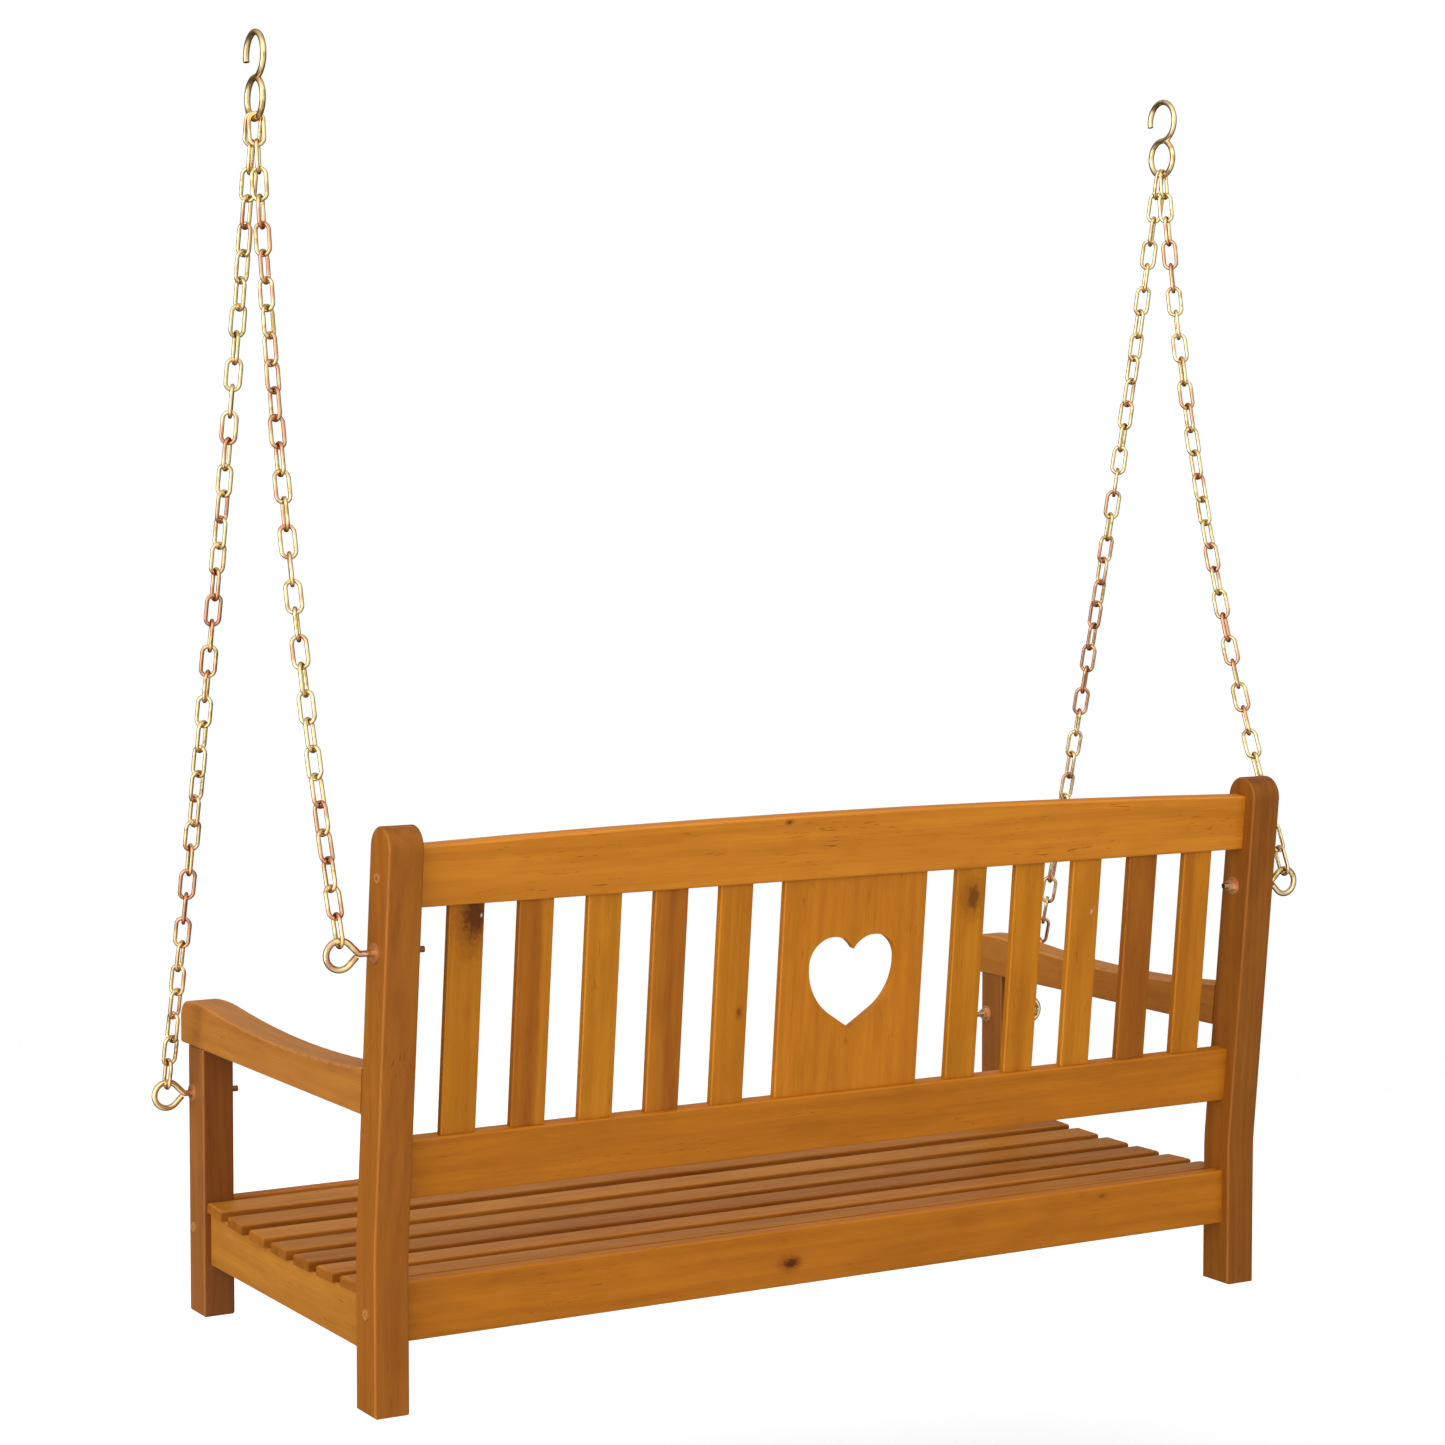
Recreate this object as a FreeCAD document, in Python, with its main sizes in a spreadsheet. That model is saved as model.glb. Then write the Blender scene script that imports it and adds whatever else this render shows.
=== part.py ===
import FreeCAD, Part
import Sketcher
import math
import os
import re

# Porch swing: a slatted wooden bench hung by four chains from two S-hooks.
# Millimetres, +Z up. The origin is on the hanging axis, midway between the two
# hooks at the centre of their open crooks. +X is the sitter's left, -Y is the front.
# "Floor" heights below are counted from the bottom of the feet, and "back"
# distances from the rear face of the rear posts at the floor, forwards positive.

DIMENSIONS = [
    # overall
    ("bench_width", 1200, "outer face to outer face of the posts"),
    ("bench_depth", 545, "rear face of the rear post to front face of the front post"),
    ("edge_round", 3, "rounding of the long wooden edges"),
    # posts
    ("rear_post_width", 41, "across the bench"),
    ("rear_post_depth", 50, "front to rear"),
    ("rear_post_height", 639, "crown of the rounded top"),
    ("front_post_width", 39, "across the bench"),
    ("front_post_depth", 48, "front to rear"),
    ("lean_start", 179, "height where the rear post starts to lean back"),
    ("lean_angle", 5.74, "lean of the back in degrees"),
    ("lean_blend", 300, "radius that softens the bend of the rear post"),
    # armrests
    ("arm_underside", 323, "underside of the armrest, top of the front post"),
    ("arm_width", 41, "across the bench"),
    ("arm_nose", 25.5, "overhang past the front post"),
    ("arm_crest", 52, "thickness where the nose meets the crest"),
    ("arm_crest_start", 19, "length of the nose rounding"),
    ("arm_crest_length", 72, "length of the low crest at the front"),
    ("arm_slope", 5.6, "slope in degrees where nose, crest and dip run into each other"),
    # seat
    ("seat_rail_inset", 9, "outer face of the side rail, in from the posts"),
    ("seat_rail_thickness", 20.5, "all seat rails"),
    ("side_rail_bottom", 62, "underside of the side rail"),
    ("side_rail_front_top", 127.5, "top of the side rail at the front post"),
    ("side_rail_rear_top", 125.5, "top of the side rail at the rear post"),
    ("seat_dish_radius", 3500, "radius of the dished seat"),
    ("front_rail_bottom", 71, "underside of the front rail"),
    ("front_rail_height", 66, "height of the front rail"),
    ("front_rail_setback", 5, "front face of the front rail, behind the post face"),
    ("rear_rail_bottom", 76, "underside of the rear rail"),
    ("rear_rail_height", 66, "height of the rear rail"),
    ("rear_rail_setback", 12, "rear face of the rear rail, ahead of the post face"),
    ("centre_support_bottom", 80, "underside of the bearer under the slats"),
    ("seat_slat_count", 7, "slats across the seat"),
    ("seat_slat_width", 45, "front to rear"),
    ("seat_slat_thickness", 12, "height"),
    ("seat_slat_overhang", 5, "slat end past the side rail"),
    ("seat_slat_pitch", 66, "slat to slat"),
    ("seat_slat_first", 78, "centre of the rearmost slat, from the back"),
    ("seat_slat_round", 3.5, "rounding of the top edges"),
    ("seat_slat_bed", 0.08, "glue line under a slat"),
    # back
    ("back_inset", 16.8, "rear face of the back rails, ahead of the post face"),
    ("back_rail_thickness", 20.5, "top and lower back rails"),
    ("lower_rail_low", 52, "up the lean from the bend"),
    ("lower_rail_high", 118, "up the lean from the bend"),
    ("top_rail_low", 372, "up the lean from the bend"),
    ("top_rail_high", 438.7, "at the posts, up the lean from the bend"),
    ("top_rail_arch_radius", 17400, "radius of the arched top edge"),
    ("back_slat_width", 42, "upright slats"),
    ("back_slat_thickness", 10, "upright slats and heart panel"),
    ("back_slat_round", 2, "rounding of the upright edges"),
    ("heart_panel_width", 194, "middle panel"),
    ("heart_lobe_radius", 32, "radius of the two upper lobes"),
    ("heart_half_width", 59.5, "half of the widest part"),
    ("heart_side_radius", 68, "radius of the two flanks"),
    ("heart_centre", 268.5, "height of the widest part, up the lean from the bend"),
    ("heart_cleft", 17.5, "lowest point of the cleft above the widest part"),
    ("heart_flank_x", 29, "where a flank turns into the straight tip"),
    ("heart_flank_drop", 57.2, "the same point, below the widest part"),
    ("heart_tip_drop", 76.5, "tip below the widest part"),
    # eye bolts
    ("eye_wire", 7, "wire and shank diameter"),
    ("eye_radius", 15.5, "centreline radius of the ring"),
    ("rear_eye_standoff", 40, "ring centre from the post face"),
    ("front_eye_standoff", 32.5, "ring centre from the post face"),
    ("eye_bend_radius", 6, "centreline radius where shank turns into ring"),
    ("eye_slope", 45, "slope of the ring's shoulders in degrees"),
    ("eye_close_length", 11.5, "length of the straight closing end"),
    ("eye_shank_end", 57, "tip of the shank, in from the post face"),
    ("rear_eye_forward", -5, "rear eye bolt, forwards of the back datum"),
    ("rear_eye_height", 503, "rear eye bolt above the floor"),
    ("front_eye_forward", 531, "front eye bolt, forwards of the back datum"),
    ("front_eye_height", 267, "front eye bolt above the floor"),
    ("washer_diameter", 22, "washers on both faces of the post"),
    ("washer_thickness", 1.8, ""),
    ("nut_across_flats", 13, ""),
    ("nut_thickness", 6.5, ""),
    # frame screws
    ("screw_diameter", 6, ""),
    ("screw_length", 80, "under the head"),
    ("screw_head_diameter", 12, ""),
    ("screw_head_thickness", 1.6, ""),
    ("screw_socket", 4, "hexagon across corners"),
    ("screw_socket_depth", 2.6, "from the top of the head"),
    ("screw_hole_spare", 1, "hole past the tip of the screw"),
    ("fit_gap", 0.1, "radial gap round shanks in their holes"),
    # hanging gear
    ("hook_wire", 7, "S-hook wire diameter"),
    ("hook_crook_radius", 25, "centreline radius of the open crook"),
    ("hook_loop_radius", 22.5, "centreline radius of the closed loop"),
    ("hook_tip_angle", 193, "end of the crook in degrees from the rear, over the top"),
    ("hook_close_angle", 68, "end of the closed loop in degrees from the rear"),
    ("hook_spread", 629, "plane of a hook from the middle of the bench"),
    ("hang_height", 1471, "crook centre above the floor"),
    ("hang_forward", 241, "hanging axis forwards of the back datum"),
    ("chain_wire", 4.5, "link wire diameter"),
    ("chain_link_width", 20.5, "outside width of a link"),
    ("chain_link_length", 40.2, "outside length of a link"),
    ("hook_link_gap", 0.4, "between a top link and the hook it hangs on"),
    ("ring_link_gap", 0.9, "between a bottom link and its eye ring"),
    ("rear_chain_bow", 35, "sag of a rear chain at mid-length, square to its chord"),
    ("front_chain_bow", 12, "the same for a front chain"),
    ("chain_turn", 25, "degrees that the top links are turned from square to their hook"),
    ("rear_chain_twist", 5.3, "further turn from link to link, beyond the quarter turn"),
    ("front_chain_twist", 9, "the same for a front chain"),
    ("rear_chain_links", 30, "links in each rear chain"),
    ("front_chain_links", 38, "links in each front chain"),
]

# Derived values, as formulas of the sheet.
FORMULAS = [
    ("half_width", "=bench_width / 2"),
    ("half_interior", "=bench_width / 2 - rear_post_width"),
    ("half_front_interior", "=bench_width / 2 - front_post_width"),
    ("lean_tan", "=tan(lean_angle * 1 deg)"),
    ("lean_cos", "=cos(lean_angle * 1 deg)"),
    ("lean_sin", "=sin(lean_angle * 1 deg)"),
    ("crown_radius", "=rear_post_depth * lean_cos / 2"),
    ("crown_arc_radius", "=crown_radius * 1.0001"),
    ("crown_centre_height", "=rear_post_height - crown_radius"),
    ("crown_centre_back",
     "=(crown_centre_height - lean_start) * lean_tan - rear_post_depth / 2"),
    ("arm_front", "=0 - bench_depth - arm_nose"),
    ("arm_crest_rear", "=arm_front + arm_crest_start + arm_crest_length"),
    ("arm_low_rear", "=(arm_underside - lean_start) * lean_tan - rear_post_depth"),
    ("arm_high_rear", "=arm_low_rear + arm_crest * lean_tan"),
    ("arm_nose_radius", "=arm_crest_start / (1 - sin(arm_slope * 1 deg))"),
    ("arm_crest_radius", "=arm_crest_length / 2 / sin(arm_slope * 1 deg)"),
    ("arm_dip_radius",
     "=(arm_high_rear - arm_crest_rear) / 2 / sin(arm_slope * 1 deg)"),
    ("back_slat_length", "=top_rail_low - lower_rail_high"),
    ("back_gap",
     "=(2 * half_interior - 10 * back_slat_width - heart_panel_width) / 12"),
    ("top_rail_middle", "=(top_rail_low + top_rail_high) / 2"),
    ("top_screw_back",
     "=top_rail_middle * lean_sin - back_inset - back_rail_thickness / 2 * lean_cos"),
    ("top_screw_height",
     "=lean_start + top_rail_middle * lean_cos + back_rail_thickness / 2 * lean_sin"),
    ("rear_screw_back", "=0 - rear_rail_setback - seat_rail_thickness / 2"),
    ("rear_screw_height", "=rear_rail_bottom + rear_rail_height / 2"),
    ("front_screw_back",
     "=front_rail_setback + seat_rail_thickness / 2 - bench_depth"),
    ("front_screw_height", "=front_rail_bottom + front_rail_height / 2"),
    ("hole_play", "=2 * fit_gap"),
    ("eye_neck",
     "=(eye_radius + eye_bend_radius - eye_bend_radius * cos(eye_slope * 1 deg))"
     " / sin(eye_slope * 1 deg)"),
]

NAMES = {entry[0] for entry in DIMENSIONS} | {entry[0] for entry in FORMULAS}

doc = FreeCAD.newDocument("porch_swing")
sheet = doc.addObject("Spreadsheet::Sheet", "dims")
for row, (alias, number, note) in enumerate(DIMENSIONS, start=1):
    sheet.set("A%d" % row, alias)
    sheet.set("B%d" % row, str(number))
    sheet.setAlias("B%d" % row, alias)
    sheet.set("C%d" % row, note)
for row, (alias, formula) in enumerate(FORMULAS, start=len(DIMENSIONS) + 1):
    sheet.set("A%d" % row, alias)
    sheet.set("B%d" % row, formula)
    sheet.setAlias("B%d" % row, alias)
doc.recompute()

SIDES = (("left", 1), ("right", -1))


def linked(text):
    """An expression for the document, with every sheet name given its prefix."""
    return re.sub(
        r"[a-z_]+",
        lambda found: "dims." + found.group(0) if found.group(0) in NAMES else found.group(0),
        text,
    )


def value(text):
    """The present value of an expression in sheet names."""
    result = sheet.evalExpression(linked(text).replace("dims.", ""))
    return float(getattr(result, "Value", result))


def bind(thing, prop, text):
    """Tie a property to the sheet."""
    thing.setExpression(prop, linked(text))


def place(thing, across, forward, height, axis=None, angle=None):
    """Stand a part, given across the bench, forward of the back datum and above the floor."""
    if axis is not None:
        thing.Placement = FreeCAD.Placement(FreeCAD.Vector(), FreeCAD.Rotation(axis, 1))
        bind(thing, "Placement.Rotation.Angle", "(%s) * 1 deg" % angle)
    bind(thing, "Placement.Base.x", across)
    bind(thing, "Placement.Base.y", "hang_forward - (%s)" % forward)
    bind(thing, "Placement.Base.z", "(%s) - hang_height" % height)


def origin_plane(body, role):
    return [item for item in body.Origin.OriginFeatures if item.Role == role][0]


def on_plane(body, name, role, offset=None):
    """An empty sketch on one of the body's own origin planes, moved along its normal."""
    sketch = body.newObject("Sketcher::SketchObject", name)
    sketch.AttachmentSupport = [(origin_plane(body, role), "")]
    sketch.MapMode = "FlatFace"
    if offset is not None:
        bind(sketch, "AttachmentOffset.Base.z", offset)
    return sketch


def pin_point(sketch, geometry, point, corner):
    """Fix a sketch point to a pair of expressions."""
    for kind, text in (("DistanceX", corner[0]), ("DistanceY", corner[1])):
        number = value(text)
        index = sketch.addConstraint(
            Sketcher.Constraint(kind, -1, 1, geometry, point, number))
        bind(sketch, "Constraints[%d]" % index, text)


def bulged_side(start, end, radius, turn):
    """An arc from start to end; turn is +1 anticlockwise, -1 clockwise."""
    chord = end - start
    reach = math.sqrt(max(radius ** 2 - (chord.Length / 2) ** 2, 0.0))
    left = FreeCAD.Vector(-chord.y, chord.x, 0).normalize()
    centre = (start + end) * 0.5 + left * reach * turn
    first, last = (start, end) if turn > 0 else (end, start)
    angles = [math.atan2(p.y - centre.y, p.x - centre.x) for p in (first, last)]
    if angles[1] < angles[0]:
        angles[1] += 2 * math.pi
    circle = Part.Circle(centre, FreeCAD.Vector(0, 0, 1), radius)
    return Part.ArcOfCircle(circle, angles[0], angles[1])


def outline(sketch, corners, arcs=None):
    """A closed outline through the corners; arcs maps a side to (radius, turn)."""
    arcs = arcs or {}
    points = [FreeCAD.Vector(value(across), value(up), 0) for across, up in corners]
    first = sketch.GeometryCount
    ends = []
    for side, start in enumerate(points):
        end = points[(side + 1) % len(points)]
        if side in arcs:
            radius, turn = arcs[side]
            sketch.addGeometry(bulged_side(start, end, value(radius), turn))
            ends.append((1, 2) if turn > 0 else (2, 1))
        else:
            sketch.addGeometry(Part.LineSegment(start, end))
            ends.append((1, 2))
    for side in range(len(points)):
        following = (side + 1) % len(points)
        sketch.addConstraint(Sketcher.Constraint(
            "Coincident", first + side, ends[side][1], first + following, ends[following][0]))
    for side, corner in enumerate(corners):
        pin_point(sketch, first + side, ends[side][0], corner)
    for side, (radius, turn) in arcs.items():
        index = sketch.addConstraint(
            Sketcher.Constraint("Radius", first + side, value(radius)))
        bind(sketch, "Constraints[%d]" % index, radius)
    return sketch


def pad(body, sketch, length):
    """Thicken a sketch evenly to both sides."""
    feature = body.newObject("PartDesign::Pad", sketch.Name + "_pad")
    feature.Profile = sketch
    feature.SideType = "Symmetric"
    bind(feature, "Length", length)
    body.Tip = feature
    return feature


def edges_where(shape, test):
    return ["Edge%d" % number for number, edge in enumerate(shape.Edges, start=1) if test(edge)]


def runs_along(direction):
    """A test for straight edges that run along one axis."""
    def test(edge):
        box = edge.BoundBox
        spans = {"x": box.XLength, "y": box.YLength, "z": box.ZLength}
        flat = [name for name, span in spans.items() if span < 1e-6]
        return len(flat) == 2 and direction not in flat
    return test


def lies_across(axis, distance):
    """A test for edges that stay at one distance to either side of the middle plane."""
    def test(edge):
        box = edge.BoundBox
        low, high = {"x": (box.XMin, box.XMax), "y": (box.YMin, box.YMax)}[axis]
        return high - low < 1e-6 and abs(abs(low) - distance) < 1e-4
    return test


def round_edges(body, test, radius):
    """Round the edges of the body's tip that pass the test."""
    doc.recompute()
    base = body.Tip
    feature = body.newObject("PartDesign::Fillet", body.Name + "_round_%d" % len(body.Group))
    feature.Base = (base, edges_where(base.Shape, test))
    bind(feature, "Radius", radius)
    body.Tip = feature
    return feature


def cut_holes(body, name, role, offset, holes, length, reverse=False, through=False):
    """Round holes from a plane of the body; holes is a list of (x, y, diameter)."""
    sketch = on_plane(body, name, role, offset)
    for number, (across, up, diameter) in enumerate(holes):
        centre = FreeCAD.Vector(value(across), value(up), 0)
        radius = value("(%s) / 2" % diameter)
        sketch.addGeometry(Part.Circle(centre, FreeCAD.Vector(0, 0, 1), radius))
        pin_point(sketch, number, 3, (across, up))
        index = sketch.addConstraint(Sketcher.Constraint("Diameter", number, 2 * radius))
        bind(sketch, "Constraints[%d]" % index, diameter)
    pocket = body.newObject("PartDesign::Pocket", name + "_pocket")
    pocket.Profile = sketch
    if through:
        pocket.SideType = "Symmetric"
        pocket.Type = 1
    else:
        pocket.Reversed = reverse
        bind(pocket, "Length", length)
    body.Tip = pocket
    return pocket


nodes = []


def keep(thing, label):
    """Name a finished part and put it on the export list."""
    thing.Label = label
    nodes.append(thing)
    return thing


def new_body(label):
    return keep(doc.addObject("PartDesign::Body", label), label)


# ---------------------------------------------------------------- posts

SCREW_HOLE = "screw_diameter + hole_play"
EYE_HOLE = "eye_wire + hole_play"


def rear_post(label, side):
    """Upright below the seat, leaning back above it, with a half-round top."""
    body = new_body(label)
    front_bend = ("0 - rear_post_depth", "lean_start")
    rear_bend = ("0", "lean_start")
    crown_front = ("crown_centre_back - crown_radius * lean_cos",
                   "crown_centre_height + crown_radius * lean_sin")
    crown_rear = ("crown_centre_back + crown_radius * lean_cos",
                  "crown_centre_height - crown_radius * lean_sin")
    corners = [("0 - rear_post_depth", "0"), ("0", "0"), rear_bend,
               crown_rear, crown_front, front_bend]
    sketch = outline(on_plane(body, label + "_side", "YZ_Plane"), corners,
                     {3: ("crown_arc_radius", 1)})
    pad(body, sketch, "rear_post_width")
    bends = [value(front_bend[0]), value(rear_bend[0])]

    def is_bend(edge):
        box = edge.BoundBox
        return (runs_along("x")(edge) and abs(box.ZMin - value("lean_start")) < 1e-4
                and min(abs(box.YMin - back) for back in bends) < 1e-4)
    round_edges(body, is_bend, "lean_blend")
    round_edges(body, lies_across("x", value("rear_post_width / 2")), "edge_round")
    cut_holes(body, label + "_holes", "YZ_Plane", None,
              [("0 - rear_eye_forward", "rear_eye_height", EYE_HOLE),
               ("top_screw_back", "top_screw_height", SCREW_HOLE),
               ("rear_screw_back", "rear_screw_height", SCREW_HOLE)],
              None, through=True)
    place(body, "%d * (half_width - rear_post_width / 2)" % side, "0", "0")


def front_post(label, side):
    """Short square post under the front of the armrest."""
    body = new_body(label)
    corners = [("0 - bench_depth", "0"), ("front_post_depth - bench_depth", "0"),
               ("front_post_depth - bench_depth", "arm_underside"),
               ("0 - bench_depth", "arm_underside")]
    sketch = outline(on_plane(body, label + "_side", "YZ_Plane"), corners)
    pad(body, sketch, "front_post_width")
    underside = value("arm_underside")

    def is_outer(edge):
        return edge.BoundBox.ZMin < underside - 1
    round_edges(body, is_outer, "edge_round")
    cut_holes(body, label + "_holes", "YZ_Plane", None,
              [("0 - front_eye_forward", "front_eye_height", EYE_HOLE),
               ("front_screw_back", "front_screw_height", SCREW_HOLE)],
              None, through=True)
    place(body, "%d * (half_width - front_post_width / 2)" % side, "0", "0")


for word, side in SIDES:
    rear_post("rear_post_" + word, side)
    front_post("front_post_" + word, side)


# ---------------------------------------------------------------- armrests

def armrest(label, side):
    """Nose over the front post, low crest, then a long shallow dip to the rear post."""
    body = new_body(label)
    top = "arm_underside + arm_crest"
    corners = [("arm_front", "arm_underside"), ("arm_low_rear", "arm_underside"),
               ("arm_high_rear", top), ("arm_crest_rear", top),
               ("arm_front + arm_crest_start", top),
               ("arm_front", top + " - arm_nose_radius * cos(arm_slope * 1 deg)")]
    sketch = outline(on_plane(body, label + "_side", "YZ_Plane"), corners,
                     {2: ("arm_dip_radius", -1), 3: ("arm_crest_radius", 1),
                      4: ("arm_nose_radius", 1)})
    pad(body, sketch, "arm_width")
    front = value("arm_front")

    def is_free(edge):
        box = edge.BoundBox
        on_side = lies_across("x", value("arm_width / 2"))(edge)
        at_joint = box.YMin > value("arm_low_rear") - 1
        low_corner = runs_along("x")(edge) and box.YMax < front + 1 and (
            box.ZMax < value("arm_underside") + 1)
        return low_corner or (on_side and not at_joint)
    round_edges(body, is_free, "edge_round")
    place(body, "%d * (half_width - arm_width / 2)" % side, "0", "0")


for word, side in SIDES:
    armrest("armrest_" + word, side)


# ---------------------------------------------------------------- seat

SEAT_FRONT = "front_post_depth - bench_depth"
SEAT_REAR = "0 - rear_post_depth"


def dish_centre():
    """Centre of the seat's dish circle, from its two ends on the side rails."""
    front = FreeCAD.Vector(value(SEAT_FRONT), value("side_rail_front_top"), 0)
    rear = FreeCAD.Vector(value(SEAT_REAR), value("side_rail_rear_top"), 0)
    chord = rear - front
    radius = value("seat_dish_radius")
    reach = math.sqrt(radius ** 2 - (chord.Length / 2) ** 2)
    upwards = FreeCAD.Vector(-chord.y, chord.x, 0).normalize()
    return (front + rear) * 0.5 + upwards * reach


def dish_height(back):
    """Height of the dished rail tops at a distance behind the back datum."""
    centre = dish_centre()
    return centre.y - math.sqrt(value("seat_dish_radius") ** 2 - (back - centre.x) ** 2)


def side_rail(label, side):
    """Board between front and rear post, its top dished to carry the slat ends."""
    body = new_body(label)
    corners = [(SEAT_FRONT, "side_rail_bottom"), (SEAT_REAR, "side_rail_bottom"),
               (SEAT_REAR, "side_rail_rear_top"), (SEAT_FRONT, "side_rail_front_top")]
    sketch = outline(on_plane(body, label + "_side", "YZ_Plane"), corners,
                     {2: ("seat_dish_radius", -1)})
    pad(body, sketch, "seat_rail_thickness")
    bottom = value("side_rail_bottom")

    def is_bottom(edge):
        return edge.BoundBox.ZMax < bottom + 1e-4 and runs_along("y")(edge)
    round_edges(body, is_bottom, "edge_round")
    place(body, "%d * (half_width - seat_rail_inset - seat_rail_thickness / 2)" % side,
          "0", "0")


def cross_rail(label, rear_face, bottom, height, half_length, screw_back, screw_height):
    """Board between two posts, with a screw hole in each end."""
    body = new_body(label)
    front_face = rear_face + " - seat_rail_thickness"
    top = "%s + %s" % (bottom, height)
    corners = [(front_face, bottom), (rear_face, bottom), (rear_face, top), (front_face, top)]
    sketch = outline(on_plane(body, label + "_section", "YZ_Plane"), corners)
    pad(body, sketch, "2 * " + half_length)
    round_edges(body, runs_along("x"), "edge_round")
    depth = "screw_length - (half_width - %s) + screw_hole_spare" % half_length
    for word, sign in SIDES:
        cut_holes(body, "%s_screw_%s" % (label, word), "YZ_Plane",
                  "%d * %s" % (sign, half_length),
                  [(screw_back, screw_height, SCREW_HOLE)], depth, reverse=sign < 0)
    place(body, "0", "0", "0")


def seat_slat(label, number):
    """Long slat lying on the dish, its upper edges rounded."""
    body = new_body(label)
    half = "seat_slat_width / 2"
    corners = [("0 - " + half, "0"), (half, "0"), (half, "seat_slat_thickness"),
               ("0 - " + half, "seat_slat_thickness")]
    sketch = outline(on_plane(body, label + "_section", "YZ_Plane"), corners)
    pad(body, sketch, "2 * (half_width - seat_rail_inset + seat_slat_overhang)")
    top = value("seat_slat_thickness")

    def is_top(edge):
        return edge.BoundBox.ZMin > top - 1e-4
    round_edges(body, is_top, "seat_slat_round")
    place(body, "0", "seat_slat_first + %d * seat_slat_pitch" % number, "0",
          FreeCAD.Vector(1, 0, 0), "0")
    back = 0 - value("seat_slat_first + %d * seat_slat_pitch" % number)
    half_width = value(half)
    front_height = dish_height(back - half_width)
    rear_height = dish_height(back + half_width)
    tilt = math.degrees(math.atan2(rear_height - front_height, 2 * half_width))
    bind(body, "Placement.Rotation.Angle", "%.5f * 1 deg" % tilt)
    bind(body, "Placement.Base.z",
         "%.4f + seat_slat_bed - hang_height" % ((front_height + rear_height) / 2))


def centre_support(label):
    """Bearer from front rail to rear rail that holds the slats at mid-span."""
    body = new_body(label)
    front = "front_rail_setback + seat_rail_thickness - bench_depth"
    rear = "0 - rear_rail_setback - seat_rail_thickness"
    front_top = dish_height(value(front))
    rear_top = dish_height(value(rear))
    corners = [(front, "centre_support_bottom"), (rear, "centre_support_bottom"),
               (rear, "%.4f" % rear_top), (front, "%.4f" % front_top)]
    sketch = outline(on_plane(body, label + "_side", "YZ_Plane"), corners,
                     {2: ("seat_dish_radius", -1)})
    pad(body, sketch, "seat_rail_thickness")
    place(body, "0", "0", "0")


for word, side in SIDES:
    side_rail("seat_side_rail_" + word, side)
cross_rail("seat_front_rail", "front_rail_setback + seat_rail_thickness - bench_depth",
           "front_rail_bottom", "front_rail_height", "half_front_interior",
           "front_screw_back", "front_screw_height")
cross_rail("seat_rear_rail", "0 - rear_rail_setback", "rear_rail_bottom",
           "rear_rail_height", "half_interior", "rear_screw_back", "rear_screw_height")
centre_support("seat_centre_support")
for number in range(int(value("seat_slat_count"))):
    seat_slat("seat_slat_%d" % (value("seat_slat_count") - number), number)


# ---------------------------------------------------------------- back

def place_back(body, across="0"):
    """Lean a part of the back: its own origin sits on the bend line of the posts."""
    place(body, across, "back_inset", "lean_start", FreeCAD.Vector(-1, 0, 0), "lean_angle")


def back_board(body, corners, arcs, thickness):
    """A board seen from the rear, centred in the thickness of the back rails."""
    sketch = on_plane(body, body.Name + "_face", "XZ_Plane", "back_rail_thickness / 2")
    outline(sketch, corners, arcs)
    return pad(body, sketch, thickness)


def runs_along_board(edge):
    """Long edges on the two faces of a rail, not the ends."""
    box = edge.BoundBox
    return box.YLength < 1e-6 and box.XLength > 1


def back_rail(label, low, high, arch=None):
    body = new_body(label)
    corners = [("0 - half_interior", low), ("half_interior", low),
               ("half_interior", high), ("0 - half_interior", high)]
    back_board(body, corners, {2: (arch, 1)} if arch else None, "back_rail_thickness")
    round_edges(body, runs_along_board, "edge_round")
    place_back(body)
    return body


def drill_rail_ends(body, height):
    """Screw holes in the ends of a back rail, along its middle."""
    depth = "screw_length - rear_post_width + screw_hole_spare"
    for word, sign in SIDES:
        cut_holes(body, "%s_screw_%s" % (body.Name, word), "YZ_Plane",
                  "%d * half_interior" % sign,
                  [("0 - back_rail_thickness / 2", height, SCREW_HOLE)],
                  depth, reverse=sign < 0)


def upright_slat(label, across):
    body = new_body(label)
    half = "back_slat_width / 2"
    corners = [("0 - " + half, "lower_rail_high"), (half, "lower_rail_high"),
               (half, "top_rail_low"), ("0 - " + half, "top_rail_low")]
    back_board(body, corners, None, "back_slat_thickness")
    round_edges(body, runs_along("z"), "back_slat_round")
    place_back(body, across)


def heart_panel(label):
    """Wide middle panel with a heart sawn through it."""
    body = new_body(label)
    half = "heart_panel_width / 2"
    corners = [("0 - " + half, "lower_rail_high"), (half, "lower_rail_high"),
               (half, "top_rail_low"), ("0 - " + half, "top_rail_low")]
    back_board(body, corners, None, "back_slat_thickness")
    round_edges(body, runs_along("z"), "back_slat_round")
    sketch = on_plane(body, label + "_heart", "XZ_Plane", "back_rail_thickness / 2")
    tip = ("0", "heart_centre - heart_tip_drop")
    flank_drop = "heart_centre - heart_flank_drop"
    cleft = ("0", "heart_centre + heart_cleft")
    heart = [tip, ("heart_flank_x", flank_drop), ("heart_half_width", "heart_centre"),
             cleft, ("0 - heart_half_width", "heart_centre"),
             ("0 - heart_flank_x", flank_drop)]
    outline(sketch, heart, {1: ("heart_side_radius", 1), 2: ("heart_lobe_radius", 1),
                            3: ("heart_lobe_radius", 1), 4: ("heart_side_radius", 1)})
    pocket = body.newObject("PartDesign::Pocket", label + "_cut")
    pocket.Profile = sketch
    pocket.SideType = "Symmetric"
    pocket.Type = 1
    body.Tip = pocket
    place_back(body)


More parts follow.
